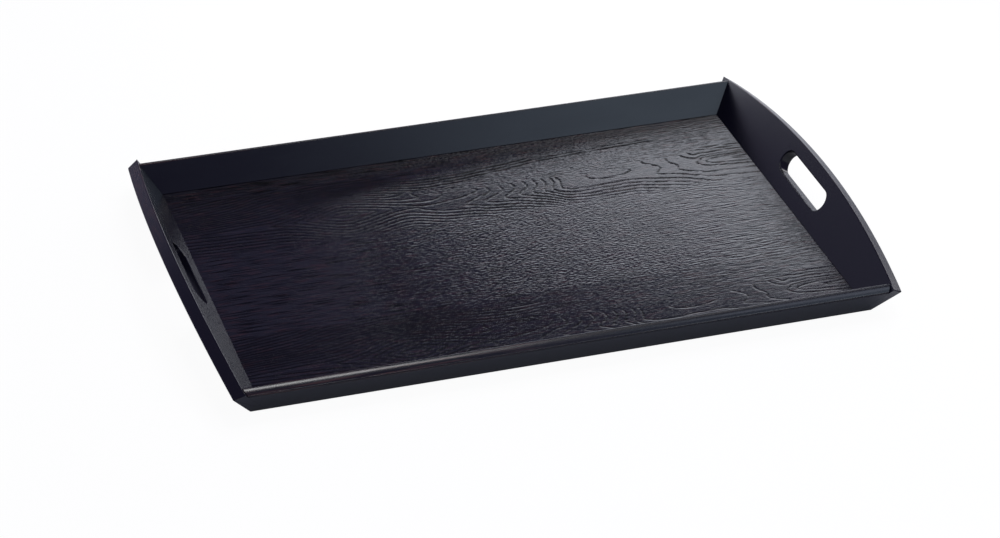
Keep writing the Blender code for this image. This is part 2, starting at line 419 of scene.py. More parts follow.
# %% [markdown]
# The oak's figure. A flat-sawn sheet cuts through the tree's growth rings, which are nested cones with
# dents, so its lines are the level lines of a rolling landscape: cathedrals where a cone is cut, eyes
# where a dent is. Here the landscape is drawn outright: a ridge and a valley run along the sheet side by
# side, and a few points give where each lies and how high it is, counted in rings. Between the two the
# lines swing back and forth in a zigzag, below the ridge they run on in long waves, and where the valley
# has a pit they close round an eye. A wave texture with distortion would be quicker, but it can't place
# one eye where the real sheet has it. Places on the sheet are in millimetres, along the grain and across
# it.

# %% The ridge and the valley
RIDGE_LINE = [
    (-270, 88), (-80, 84), (-10, 77), (10, 77.5), (30, 79.5), (60, 81.5), (100, 81), (130, 81.5), (150, 83),
    (172, 81.5), (195, 84), (215, 79), (265, 74),
]
RIDGE_RINGS = [
    (-270, 0.5), (-80, 2.6), (-40, 3), (-10, 3.5), (9, 4.5), (28, 5.5), (42, 6.5), (54, 7.5), (65, 8.5),
    (73, 9.5), (83, 10.6), (100, 11.1), (128, 10.9), (150, 11.1), (172, 11.5), (194, 12.5), (208, 13),
    (265, 12.7),
]
VALLEY_LINE = [
    (-270, 101), (-20, 100), (5, 99), (18, 95), (50, 94), (100, 94), (150, 94), (178, 91), (200, 89.5),
    (265, 90),
]
VALLEY_RINGS = [
    (-270, -1), (-50, 0.5), (-26, 1.5), (6, 2.5), (17, 3.5), (29, 4.5), (41, 5.5), (52, 6.5), (61, 7.5),
    (69, 8.5), (77, 9.5), (83, 10.5), (95, 10.9), (108, 10.5), (128, 9.9), (150, 10.5), (178, 11.5),
    (195, 12.5), (205, 12.7), (214, 12.5), (223, 11.5), (245, 10.6), (265, 10.3),
]
FAR_SIDE_RINGS = [
    (-270, 1.7), (-10, 1.5), (20, 0.2), (85, 0.25), (115, 0.9), (150, 0.7), (175, 0.4), (195, 0.3), (215, 1),
    (265, 2.4),
]
BACK_LINES = [
    (-270, -13), (-210, -6), (-152, 3), (-76, 1), (-40, -0.5), (-10, 0), (12, 2.5), (40, 6), (55, 9),
    (72, 12), (90, 13.5), (160, 18), (265, 20),
]
print("points in the ridge and the valley:", len(RIDGE_RINGS), "and", len(VALLEY_RINGS))

# %% [markdown]
# The rest of the landscape. Slopes fall away from the ridge and the valley by one ring for every pitch,
# after a soft shoulder. The left end has a broad diamond instead of the zigzag, and a band of nearly
# straight lines runs along the back. Not every ring shows: the figure stands out in bands and fades beside
# them, so the group also puts out how strong the lines are at each place. A tuple of four numbers is a
# step: where it starts, where it ends, the value before it and the value after it.

# %% The landscape of growth rings
LEFT_END = (-80, -30, 1, 0)
RIGHT_END = (190, 235, 0, 1)
SHOULDER = 4.0
SLOPE_PITCH = 4.8
SLOPE_WIDENS = (120, 265, SLOPE_PITCH, 9.0)
FAR_SIDE_WIDTH = 11.0
FAR_SIDE_OVERLAP = 4.0
BACK_PITCH = 4.4
BACK_FIRST_RING = 21.9
BACK_EDGE = 112.0
BACK_EDGE_STEP = 8.0
BACK_LIFT = (92, 125)
DIAMOND_ALONG = -119.0
DIAMOND_ACROSS = 88.0
DIAMOND_REACH = 62.0
DIAMOND_TIP = 0.01
DIAMOND_RISE = (-0.25, 1.1, 4.6, 0)
DIAMOND_FADE = (104, 142, 1, 0.15)
DIAMOND_PITCH = 4.2
DIAMOND_SHOULDER = 3.0
FRONT_BAND_START = (46, 62, 0, 1)
FRONT_BAND_END = (99, 104, 1, 0)
FRONT_BAND_WIDENS = (90, 130, 0, 4)
FRONT_BAND_AT_RIGHT = 10
FRONT_BAND_AT_LEFT = 45
EYE_LEFT = (98, 112, 0, 1)
EYE_RIGHT = (150, 164, 1, 0)
EYE_TOP = (93, 96.5, 0, 0.8)
BACK_BAND_START = (117, 121, 0, 1)
BACK_BAND_START_SHIFT = (-30, 40, 7, 0)
BACK_BAND_END = (129, 135, 1, 0)
BACK_BAND_END_SHIFT = (60, 100, 0, 7)
BACK_BAND_LEFT_SHIFT = (-90, -10, -8, 0)
BACK_BAND_FADE = (-50, 0, 1, 0)


def slope_down(tree, distance, shoulder):
    """How far a slope has fallen: it starts level and runs on straight past its shoulder."""
    distance = calc(tree, "MAXIMUM", distance, 0)
    return calc(tree, "DIVIDE", product(tree, distance, distance), calc(tree, "ADD", distance, shoulder))


def zigzag_rings(tree, along, across, ridge, ridge_rings, right_end):
    """The rings between ridge and valley, on the slope in front of them and on the far side."""
    valley = profile(tree, along, VALLEY_LINE)
    between = rise(tree, across, ridge, valley, ridge_rings, profile(tree, along, VALLEY_RINGS))
    drop = slope_down(tree, calc(tree, "SUBTRACT", ridge, across), SHOULDER)
    drop = calc(tree, "DIVIDE", drop, rise(tree, along, *SLOPE_WIDENS))
    far_edge = calc(tree, "ADD", valley, FAR_SIDE_WIDTH)
    far = rise(tree, across, valley, far_edge, 0, profile(tree, along, FAR_SIDE_RINGS))
    beyond = calc(tree, "SUBTRACT", across, calc(tree, "SUBTRACT", far_edge, FAR_SIDE_OVERLAP))
    beyond = product(tree, calc(tree, "MAXIMUM", beyond, 0), right_end)
    far = calc(tree, "MULTIPLY_ADD", beyond, 1 / BACK_PITCH, far)
    return calc(tree, "ADD", calc(tree, "SUBTRACT", between, drop), far)


def diamond_rings(tree, along, across, ridge_rings, back_shift):
    """The rings of the left end: a tent along the ridge's line, with a slope to either side."""
    lift = product(tree, back_shift, rise(tree, across, *BACK_LIFT))
    above = calc(tree, "SUBTRACT", calc(tree, "SUBTRACT", across, lift), DIAMOND_ACROSS)
    fall = calc(tree, "DIVIDE", slope_down(tree, above, DIAMOND_SHOULDER), DIAMOND_PITCH)
    below = calc(tree, "SUBTRACT", DIAMOND_ACROSS, across)
    fall = calc(tree, "MULTIPLY_ADD", slope_down(tree, below, DIAMOND_SHOULDER), 1 / SLOPE_PITCH, fall)
    off = calc(tree, "DIVIDE", calc(tree, "SUBTRACT", along, DIAMOND_ALONG), DIAMOND_REACH)
    off = calc(tree, "SQRT", calc(tree, "MULTIPLY_ADD", off, off, DIAMOND_TIP))
    tent = product(tree, rise(tree, off, *DIAMOND_RISE), rise(tree, across, *DIAMOND_FADE))
    return calc(tree, "SUBTRACT", calc(tree, "ADD", ridge_rings, tent), fall)


def front_band(tree, along, across, left_end, right_end):
    """How strong the figure's lines are: a band, wider at both ends, that leaves the eye's top open."""
    shift = calc(tree, "MULTIPLY_ADD", right_end, FRONT_BAND_AT_RIGHT, rise(tree, along, *FRONT_BAND_WIDENS))
    shift = calc(tree, "MULTIPLY_ADD", left_end, FRONT_BAND_AT_LEFT, shift)
    end = rise(tree, calc(tree, "SUBTRACT", across, shift), *FRONT_BAND_END)
    near_eye = [rise(tree, along, *side) for side in (EYE_LEFT, EYE_RIGHT)]
    eye = product(tree, *near_eye, rise(tree, across, *EYE_TOP))
    return product(tree, rise(tree, across, *FRONT_BAND_START), end, calc(tree, "SUBTRACT", 1, eye))


def back_band(tree, along, from_lines, lines_end):
    """How strong the nearly straight lines along the back are, up to where they end."""
    start = calc(tree, "ADD", from_lines, rise(tree, along, *BACK_BAND_START_SHIFT))
    shift = rise(tree, along, *BACK_BAND_END_SHIFT)
    shift = calc(tree, "ADD", shift, rise(tree, along, *BACK_BAND_LEFT_SHIFT))
    end = rise(tree, calc(tree, "ADD", from_lines, shift), *BACK_BAND_END)
    fade = rise(tree, calc(tree, "SUBTRACT", along, lines_end), *BACK_BAND_FADE)
    return product(tree, rise(tree, start, *BACK_BAND_START), end, fade)


def make_landscape():
    tree, given, made = new_group(
        "growth_rings",
        [("Place", "Vector"), ("Back Lines End", "Float")],
        [("Rings", "Float"), ("Strength", "Float")],
    )
    along, across, _ = split(tree, given["Place"])
    ridge = profile(tree, along, RIDGE_LINE)
    ridge_rings = profile(tree, along, RIDGE_RINGS)
    back_shift = profile(tree, along, BACK_LINES)
    left_end = rise(tree, along, *LEFT_END)
    right_end = rise(tree, along, *RIGHT_END)
    back_edge = calc(tree, "MULTIPLY_ADD", right_end, BACK_EDGE_STEP, BACK_EDGE)
    behind = calc(tree, "GREATER_THAN", across, back_edge)
    from_lines = calc(tree, "SUBTRACT", across, back_shift)
    back_rings = calc(tree, "SUBTRACT", BACK_FIRST_RING, calc(tree, "DIVIDE", from_lines, BACK_PITCH))
    front_rings = zigzag_rings(tree, along, across, ridge, ridge_rings, right_end)
    rings = mix_value(tree, behind, front_rings, back_rings)
    left_rings = diamond_rings(tree, along, across, ridge_rings, back_shift)
    link(tree, mix_value(tree, left_end, rings, left_rings), made["Rings"])
    front = front_band(tree, along, across, left_end, right_end)
    back = back_band(tree, along, from_lines, given["Back Lines End"])
    link(tree, calc(tree, "MAXIMUM", front, product(tree, back, behind)), made["Strength"])
    return tree


GROWTH_RINGS = make_landscape()
print("nodes in the landscape:", len(GROWTH_RINGS.nodes))

# %% [markdown]
# From the landscape to lines. Each ring leaves one row of open pores, which shows as a thin groove. A
# groove is as wide where rings lie far apart as where they crowd, so the distance to the nearest ring has
# to be in millimetres: the share of a ring that is left to it is divided by the slope, and the slope comes
# from asking the landscape at two more places, a hair further along and across.

# %% Grooves along the rings
HAIR = 0.05
GROOVE_WIDTH = 1.05
FLATTEST = 0.03
RING_LINE = 0.5


def make_grooves():
    tree, given, made = new_group(
        "ring_grooves",
        [("Place", "Vector"), ("Back Lines End", "Float")],
        [("Groove", "Float"), ("Strength", "Float")],
    )
    here = use_group(tree, GROWTH_RINGS, {label: given[label] for label in ("Place", "Back Lines End")})
    slopes = []
    for step in ((HAIR, 0, 0), (0, HAIR, 0)):
        move = tree.nodes.new("ShaderNodeVectorMath")
        feed(tree, move.inputs[0], given["Place"])
        move.inputs[1].default_value = step
        there = use_group(tree, GROWTH_RINGS, {"Place": move.outputs[0]})
        change = calc(tree, "DIVIDE", calc(tree, "SUBTRACT", there["Rings"], here["Rings"]), HAIR)
        slopes.append(product(tree, change, change))
    slope = calc(tree, "MAXIMUM", calc(tree, "SQRT", calc(tree, "ADD", *slopes)), FLATTEST)
    off = calc(tree, "SUBTRACT", calc(tree, "FRACT", here["Rings"]), RING_LINE)
    distance = calc(tree, "DIVIDE", calc(tree, "DIVIDE", calc(tree, "ABSOLUTE", off), slope), GROOVE_WIDTH)
    shape = calc(tree, "EXPONENT", product(tree, distance, distance, -1))
    link(tree, product(tree, shape, here["Strength"]), made["Groove"])
    link(tree, here["Strength"], made["Strength"])
    return tree


RING_GROOVES = make_grooves()
print("nodes in the grooves:", len(RING_GROOVES.nodes))

# %% [markdown]
# The stained oak. Brushed and stained black, oak keeps a leathery relief: soft mottling of two or three
# millimetres, drawn out into strokes towards the sheet's ends, the grooves of the rings, and fine pores.
# The stain lets a little red-brown wood through in flecks. One group makes all of it from a place on the
# sheet and puts out a colour, a roughness and a height in millimetres. The open pores and grooves get a
# darker colour, partly the stain that gathers in them and partly painted shade for holes that swallow
# light. The group also puts out that painted shade on its own as a shade: it goes to Metallic, because a
# black metal has no gloss of its own, so the pores and grooves stay black inside the sheen. Both leaves
# were sliced from one log and lie side by side, so each gets the same figure, shifted along the grain,
# with a warp of its own, and shallower in front. A noise here is how many times longer than wide it is,
# its scale, its detail and, for the flecks, its roughness. A warp is its size and its reach.

# %% Stained oak
OAK_ROUGHNESS = 0.19
GROOVE_DULLNESS = 0.04
STAIN = (0.0050, 0.0048, 0.0085, 1)
STAIN_LIGHT = (0.0150, 0.0145, 0.0220, 1)
# The colour of open pores and grooves: partly the stain gathered in them, partly painted shade of the holes.
STAIN_AND_SHADE_IN_HOLLOWS = (0.0004, 0.0004, 0.0008, 1)
BROWN = (0.040, 0.016, 0.019, 1)
WARP_COARSE = (24, 1.6)
WARP_FINE = (5, 0.65)
WARP_DETAIL = 1.0
GROOVE_DEPTH = 0.40
GROOVE_DEPTH_FADE = (-110, 40, 0.3, 1)
GROOVE_BREAKS = (6.0, 0.35, 1.0)
GROOVE_BREAK_STEP = (0.3, 0.6)
GROOVE_IN_BREAK = (-60, 0, 0.7, 0.25)
MOTTLE = (1.9, 0.52, 0.7)
MOTTLE_HEIGHT = 0.52
STROKES = (6.0, 0.48, 0.8)
STROKE_HEIGHT = 0.62
STROKES_AT_LEFT = (-130, -10, 0.6, 0.15)
STROKES_AT_RIGHT = (90, 220, 0.1, 0.9)
RELIEF_FADE = (-170, 0, 0.4, 1)
CALM_IN_FIGURE = 0.65
PORES = (9.0, 1.6, 1.0)
PORE_STEP = (0.55, 0.72)
PORE_DEPTH = 0.03
PORE_DARKNESS = 0.5
STAIN_LINES = (20.0, 0.62, 1.0)
STAIN_STEP = (0.40, 0.62)
OPEN_PORE_STEP = (0.47, 0.33)
OPEN_PORE_FADE = (-60, 60, 0.9, 0.45)
FLECKS = (8.0, 0.42, 2.0, 0.65)
FLECK_STEP = (0.50, 0.70)
PORE_SHADE = 0.85
FRONT_SHIFT = (4, 225)
FRONT_SEED = 40.0
FRONT_GROOVES = 0.45
FRONT_RELIEF = 0.55
BACK_LEAF_LINES_END = 220
FRONT_LEAF_LINES_END = 30


def warped(tree, vector, seed, size, amount):
    """The same places, each pushed about a little by noise of a given size."""
    spread = tree.nodes.new("ShaderNodeVectorMath")
    spread.operation = "ADD"
    feed(tree, spread.inputs[0], vector)
    feed(tree, spread.inputs[1], place(tree, 0, 0, seed))
    push = tree.nodes.new("ShaderNodeVectorMath")
    push.operation = "MULTIPLY_ADD"
    feed(tree, push.inputs[0], noise(tree, spread.outputs[0], 1 / size, WARP_DETAIL)["Color"])
    push.inputs[1].default_value = (amount, amount, 0)
    feed(tree, push.inputs[2], vector)
    back = tree.nodes.new("ShaderNodeVectorMath")
    back.operation = "SUBTRACT"
    feed(tree, back.inputs[0], push.outputs[0])
    back.inputs[1].default_value = (amount * NOISE_MIDDLE, amount * NOISE_MIDDLE, 0)
    return back.outputs[0]


def leathery_relief(tree, spot):
    """The mottling, and the strokes that take its place towards the ends, in millimetres."""
    along = spot[0]
    parts = []
    for look, height in ((MOTTLE, MOTTLE_HEIGHT), (STROKES, STROKE_HEIGHT)):
        centred = calc(tree, "SUBTRACT", grain_noise(tree, spot, *look), NOISE_MIDDLE)
        parts.append(product(tree, centred, height))
    drawn_out = [rise(tree, along, *fade) for fade in (STROKES_AT_LEFT, STROKES_AT_RIGHT)]
    height = mix_value(tree, calc(tree, "MAXIMUM", *drawn_out), *parts)
    return product(tree, height, rise(tree, along, *RELIEF_FADE))


def make_oak():
    tree, given, made = new_group(
        "stained_oak",
        [
            ("Place", "Vector"), ("Seed", "Float"), ("Back Lines End", "Float"), ("Groove Depth", "Float"),
            ("Relief", "Float"),
        ],
        [("Color", "Color"), ("Roughness", "Float"), ("Height", "Float"), ("Shade", "Float")],
    )
    along, across, _ = split(tree, given["Place"])
    spot = (along, across, given["Seed"])
    bent = warped(tree, given["Place"], given["Seed"], *WARP_COARSE)
    bent = warped(tree, bent, given["Seed"], *WARP_FINE)
    cut = use_group(tree, RING_GROOVES, {"Place": bent, "Back Lines End": given["Back Lines End"]})
    breaks = grain_noise(tree, spot, *GROOVE_BREAKS)
    breaks = rise(tree, breaks, *GROOVE_BREAK_STEP, rise(tree, along, *GROOVE_IN_BREAK), 1)
    groove = product(tree, cut["Groove"], breaks)
    calm = calc(tree, "MULTIPLY_ADD", cut["Strength"], -CALM_IN_FIGURE, 1)
    pores = rise(tree, grain_noise(tree, spot, *PORES), *PORE_STEP)

    height = product(tree, leathery_relief(tree, spot), given["Relief"], calm)
    depth = product(tree, rise(tree, along, *GROOVE_DEPTH_FADE), given["Groove Depth"])
    height = calc(tree, "SUBTRACT", height, product(tree, groove, depth))
    height = calc(tree, "SUBTRACT", height, product(tree, pores, PORE_DEPTH))

    lines = grain_noise(tree, spot, *STAIN_LINES)
    open_pores = rise(tree, lines, *OPEN_PORE_STEP)
    open_pores = product(tree, open_pores, rise(tree, along, *OPEN_PORE_FADE), calm)
    # Where the pores and grooves are: their colour is darkened, partly for stain and partly as painted shade,
    # and the same mask goes out as the painted shade for Metallic.
    dark = calc(tree, "MAXIMUM", open_pores, product(tree, pores, PORE_DARKNESS))
    dark = calc(tree, "MAXIMUM", groove, dark)
    brown = rise(tree, grain_noise(tree, spot, *FLECKS), *FLECK_STEP)
    colour = mix_colour(tree, rise(tree, lines, *STAIN_STEP), STAIN, STAIN_LIGHT)
    colour = mix_colour(tree, brown, colour, BROWN)
    link(tree, mix_colour(tree, dark, colour, STAIN_AND_SHADE_IN_HOLLOWS), made["Color"])
    link(tree, calc(tree, "MULTIPLY_ADD", groove, GROOVE_DULLNESS, OAK_ROUGHNESS), made["Roughness"])
    link(tree, height, made["Height"])
    link(tree, product(tree, dark, PORE_SHADE), made["Shade"])
    return tree


STAINED_OAK = make_oak()


def oak_material(name, shift, seed, lines_end, groove_depth, relief):
    """A leaf's finish: shift is where the tray's middle lies on the sheet, in millimetres."""
    material, spot = new_material(name, shift=shift)
    tree = material.node_tree
    oak = use_group(tree, STAINED_OAK, {
        "Place": spot, "Seed": seed, "Back Lines End": lines_end,
        "Groove Depth": groove_depth, "Relief": relief,
    })
    # The painted shade of the pores and grooves goes to Metallic, so that they lose their gloss.
    link(tree, oak["Shade"], tree.nodes["Principled BSDF"].inputs["Metallic"])
    return dress(material, oak)


BACK_OAK = oak_material("black_oak_back", (0, 0), 0.0, BACK_LEAF_LINES_END, GROOVE_DEPTH, 1.0)
FRONT_OAK = oak_material(
    "black_oak_front", FRONT_SHIFT, FRONT_SEED, FRONT_LEAF_LINES_END,
    FRONT_GROOVES * GROOVE_DEPTH, FRONT_RELIEF,
)
print("nodes in the oak:", len(STAINED_OAK.nodes))

# %% [markdown]
# The black lacquer. It lies over solid wood, so long faint streaks of grain still telegraph through the
# film, and the film itself is a little wavy. On the crests and on the arches of the ends, where hands and
# other trays rub and where a sprayed film runs thin, the red-brown of the wood shows through in streaks,
# most of all on the left. Where a crest is, the nodes work out from the slope's own height, so the wear
# follows the straight and the arched boards alike.

# %% Lacquered wood
LACQUER_BLACK = (0.0045, 0.0045, 0.0100, 1)
WORN_BROWN = (0.060, 0.026, 0.025, 1)
LACQUER_ROUGHNESS = 0.22
ROUGHNESS_DRIFT = 0.10
WORN_ROUGHNESS = 0.04
WEAR_BELOW_CREST = (-1.7, -0.9)
STREAKS = (45, 0.75, 2.0, 0.6)
STREAK_STEP = (0.46, 0.64, 0.05, 1)
WEAR_FADE = (-180, 60, 1, 0.05)
CLOUDS = (4, 0.05, 2.0)
FILM_SCALE = 0.22
FILM_DETAIL = 1.0
GRAIN_HEIGHT = 0.006
FILM_HEIGHT = 0.010


def make_lacquered_wood():
    tree, given, made = new_group(
        "lacquered_wood",
        [("Place", "Vector"), ("Reach", "Float"), ("Crown", "Float"), ("Radius", "Float")],
        [("Color", "Color"), ("Roughness", "Float"), ("Height", "Float")],
    )
    along, across, up = split(tree, given["Place"])
    out = calc(tree, "SUBTRACT", calc(tree, "ABSOLUTE", across), given["Reach"])
    risen = product(tree, calc(tree, "SUBTRACT", up, FLOOR_TOP / MM), RISE_SHARE)
    slope = calc(tree, "MULTIPLY_ADD", out, SPREAD_SHARE, risen)
    radius = given["Radius"]
    squares = [product(tree, side, side) for side in (radius, along)]
    fall = calc(tree, "SUBTRACT", radius, calc(tree, "SQRT", calc(tree, "SUBTRACT", *squares)))
    crest = calc(tree, "ADD", calc(tree, "SUBTRACT", slope, given["Crown"]), fall)
    streaks = grain_noise(tree, (along, across, up), *STREAKS)
    clouds = grain_noise(tree, (along, across, up), *CLOUDS)
    film = noise(tree, given["Place"], FILM_SCALE, FILM_DETAIL)[0]
    show = product(tree, rise(tree, crest, *WEAR_BELOW_CREST), rise(tree, streaks, *STREAK_STEP))
    show = product(tree, show, rise(tree, along, *WEAR_FADE))
    link(tree, mix_colour(tree, show, LACQUER_BLACK, WORN_BROWN), made["Color"])
    drift = calc(tree, "SUBTRACT", clouds, NOISE_MIDDLE)
    rough = calc(tree, "MULTIPLY_ADD", drift, ROUGHNESS_DRIFT, LACQUER_ROUGHNESS)
    link(tree, calc(tree, "MULTIPLY_ADD", show, WORN_ROUGHNESS, rough), made["Roughness"])
    height = product(tree, streaks, GRAIN_HEIGHT)
    link(tree, calc(tree, "MULTIPLY_ADD", film, FILM_HEIGHT, height), made["Height"])
    return tree


LACQUERED_WOOD = make_lacquered_wood()
print("nodes in the lacquer:", len(LACQUERED_WOOD.nodes))

# %% [markdown]
# The two kinds of board need the lacquer with their own numbers: how far out the slope starts, how high
# the crest is, and the radius of its arch. The arch runs through three known points, its crown and its two
# corners, so its radius comes from the rule of the circle's chord. A straight board is an arch of a very
# large radius.

# %% Lacquer for long and end boards
ARCH_CORNER = LONG_HEIGHT + CORNER_STEP
ARCH_REACH = HALF_WIDTH + ARCH_CORNER * SPREAD_SHARE
ARCH_FALL = CROWN_HEIGHT - ARCH_CORNER
ARCH_RADIUS = (ARCH_REACH**2 + ARCH_FALL**2) / (2 * ARCH_FALL)
STRAIGHT = 100.0


def lacquer(name, turn, reach, crown, radius):
    material, spot = new_material(name, turn)
    made = use_group(material.node_tree, LACQUERED_WOOD, {
        "Place": spot, "Reach": reach / MM, "Crown": crown / MM, "Radius": radius / MM,
    })
    return dress(material, made)


LONG_LACQUER = lacquer("black_lacquer_long", 0, HALF_WIDTH, LONG_HEIGHT, STRAIGHT)
END_LACQUER = lacquer("black_lacquer_end", math.pi / 2, HALF_LENGTH, CROWN_HEIGHT, ARCH_RADIUS)
print("arch radius in mm:", round(ARCH_RADIUS / MM, 1))

# %% [markdown]
# The woods that the finish hides. The floor's core is plywood: thin plies with their grain crossed, so its
# edge shows light and dark bands. The backing sheet below it is oak again, with only a thin matt black
# coat, so its pores stay open. The dowels are beech, pale and even, with the short dark flecks that beech
# is known by. One function makes all three, because they differ only in colours, in their pores and in the
# plies.

# %% Plywood, backing and beech
PLY_THICKNESS = 1.1
PLY_STEP = (0.42, 0.58, 0, 0.8)
PORES_IN_PLY = 0.5
FACE_GRAIN = (0.50, 0.345, 0.200, 1)
END_GRAIN = (0.31, 0.195, 0.105, 1)
COAT_BLACK = (0.014, 0.013, 0.016, 1)
PORE_BLACK = (0.005, 0.005, 0.006, 1)
BEECH_PALE = (0.60, 0.42, 0.27, 1)
BEECH_FLECK = (0.38, 0.21, 0.115, 1)
WOOD_CLOUDS = (6, 0.06, 2.0)
CLOUD_SHARE = 0.35
ROUGHER_IN_PORES = 0.15


def make_wood(name, pale, dark, look, step, depth, roughness, plies=0.0):
    """Wood with dark pores or flecks along X, and with crossed plies up Z where their thickness is given."""
    tree, given, made = new_group(
        name, [("Place", "Vector")], [("Color", "Color"), ("Roughness", "Float"), ("Height", "Float")],
    )
    spot = split(tree, given["Place"])
    pores = rise(tree, grain_noise(tree, spot, *look), *step)
    if plies:
        layer = rise(tree, calc(tree, "PINGPONG", calc(tree, "DIVIDE", spot[2], plies), 1), *PLY_STEP)
        pores = calc(tree, "MAXIMUM", layer, product(tree, pores, PORES_IN_PLY))
    clouds = calc(tree, "SUBTRACT", grain_noise(tree, spot, *WOOD_CLOUDS), NOISE_MIDDLE)
    share = calc(tree, "MAXIMUM", calc(tree, "MULTIPLY_ADD", clouds, CLOUD_SHARE, pores), 0)
    link(tree, mix_colour(tree, share, pale, dark), made["Color"])
    link(tree, calc(tree, "MULTIPLY_ADD", pores, ROUGHER_IN_PORES, roughness), made["Roughness"])
    link(tree, product(tree, pores, -depth), made["Height"])
    return tree


def wood(name, group):
    material, spot = new_material(name)
    return dress(material, use_group(material.node_tree, group, {"Place": spot}))


PLYWOOD = wood("plywood", make_wood(
    "crossed_plies", FACE_GRAIN, END_GRAIN, look=(20, 0.9, 2.0), step=(0.5, 0.7),
    depth=0.02, roughness=0.60, plies=PLY_THICKNESS,
))
BACKING = wood("black_backing", make_wood(
    "open_pored_oak", COAT_BLACK, PORE_BLACK, look=(9, 1.3, 2.0), step=(0.54, 0.68),
    depth=0.06, roughness=0.48,
))
BEECH = wood("beech", make_wood(
    "flecked_beech", BEECH_PALE, BEECH_FLECK, look=(6, 1.2, 2.0), step=(0.58, 0.70),
    depth=0.01, roughness=0.55,
))
print("materials:", ", ".join(material.name for material in bpy.data.materials))

# %% [markdown]
# Each node of the working model gets its finish, also the boards that finer pieces will stand in for. The
# eight dowels are alike, so any node that isn't in the list is a dowel and gets beech.

# %% Finishes for the working model
FINISHES = {
    "front_board": LONG_LACQUER,
    "back_board": LONG_LACQUER,
    "left_end_board": END_LACQUER,
    "right_end_board": END_LACQUER,
    "front_veneer_leaf": FRONT_OAK,
    "back_veneer_leaf": BACK_OAK,
    "panel_core": PLYWOOD,
    "backing_veneer": BACKING,
}
for name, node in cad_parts.items():
    node.data.materials.clear()
    node.data.materials.append(FINISHES.get(name, BEECH))
    print(name, "->", node.data.materials[0].name)

# %% [markdown]
# Every board is drawn flat first, as it would lie on the bench: X along it, Y up its slope from the line
# where its inner face meets the floor, and Z through its thickness, out of its outer face. One matrix then
# stands the flat board in its place. Working flat keeps the numbers plain, and the lean is written only
# once.

# %% Where the boards stand
BOARD_PLACES = {
    "back_board": (HALF_WIDTH, 0.0),
    "front_board": (HALF_WIDTH, math.pi),
    "right_end_board": (HALF_LENGTH, -math.pi / 2),
    "left_end_board": (HALF_LENGTH, math.pi / 2),
}


def board_place(name):
    """The matrix from a flat board on the bench to its place in the tray."""
    reach, turn = BOARD_PLACES[name]
    lean = Matrix.Rotation(math.pi / 2 - FLARE, 4, "X") @ Matrix.Rotation(math.pi, 4, "Y")
    return Matrix.Rotation(turn, 4, "Z") @ Matrix.Translation((0, reach, FLOOR_TOP)) @ lean


def board_plane(name, depth):
    """A point on, and the outward normal of, the plane at a depth through a board's thickness."""
    stand = board_place(name)
    return stand @ Vector((0, 0, depth)), stand.to_3x3() @ Vector((0, 0, 1))


for name in BOARD_PLACES:
    print(name, "faces out along", [round(value, 3) for value in board_plane(name, 0)[1]])

# %% [markdown]
# Wood has no knife edges: a joiner breaks each one with paper on a block, and lacquer rounds it a little
# more. These fine rounds catch the light, so they matter as much as the faces. Each edge is marked with the
# radius that it should get, as a share of the largest one, and a Bevel modifier then rounds them all in one
# pass, so that a soft arris and a crisp joint can meet at one corner.

# %% Helpers for edges and cuts
LARGEST_ROUND = 1.2 * MM
ROUND_STEPS = 4
FOLD = math.radians(20)
NEAR = 0.01 * MM
OVERRUN = 60 * MM
CUBIC_CM = 1e-6


def round_edges(shape, radius, wanted):
    """Marks the folded edges that a test picks, unless they are marked already."""
    layers = shape.edges.layers.float
    marks = layers.get("bevel_weight_edge") or layers.new("bevel_weight_edge")
    picked = 0
    for edge in shape.edges:
        folded = edge.is_manifold and edge.calc_face_angle() > FOLD and edge.is_convex
        if folded and not edge[marks] and wanted(edge):
            edge[marks] = radius / LARGEST_ROUND
            picked += 1
    return picked


def middle(edge):
    return (edge.verts[0].co + edge.verts[1].co) / 2


def open_edges(shape):
    return [edge for edge in shape.edges if edge.is_boundary]


def only_verts(geometry):
    return [part for part in geometry if isinstance(part, bmesh.types.BMVert)]


def join(shape, *parts):
    """What the F key does: two points make an edge, and a ring of edges or points makes a face."""
    bmesh.ops.contextual_create(shape, geom=list(parts))


def saw(shape, point, normal):
    """Cuts off what lies past a plane."""
    everything = shape.verts[:] + shape.edges[:] + shape.faces[:]
    bmesh.ops.bisect_plane(
        shape, geom=everything, dist=NEAR, plane_co=point, plane_no=normal, clear_outer=True,
    )


def spin_arc(shape, start, centre, axis, angle, steps):
    """Spins a new point round a centre and returns the arc's two end points."""
    first = shape.verts.new(start)
    arc = bmesh.ops.spin(shape, geom=[first], cent=centre, axis=axis, angle=angle, steps=steps)
    return first, only_verts(arc["geom_last"])[0]


def new_piece(name, shape, slot, *nodes):
    """Makes a bmesh a finished piece that rides on the tray and stands for its node."""
    bmesh.ops.recalc_face_normals(shape, faces=shape.faces)
    state = "closed," if all(edge.is_manifold for edge in shape.edges) else "OPEN,"
    volume = shape.calc_volume()
    mesh = bpy.data.meshes.new(name)
    shape.to_mesh(mesh)
    shape.free()
    mesh.shade_smooth()
    item = bpy.data.objects.new(name, mesh)
    bpy.context.scene.collection.objects.link(item)
    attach(item, "root")
    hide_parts(*nodes)
    print(name, state, round(volume / CUBIC_CM, 2), "cm3,", len(mesh.polygons), "faces")
    return item


def ease_edges(item):
    """Rounds the marked edges, and keeps the flat faces flat to the eye."""
    rounds = item.modifiers.new("rounds", "BEVEL")
    rounds.limit_method = "WEIGHT"
    rounds.width = LARGEST_ROUND
    rounds.segments = ROUND_STEPS
    rounds.use_clamp_overlap = False
    rounds.harden_normals = True
    return item


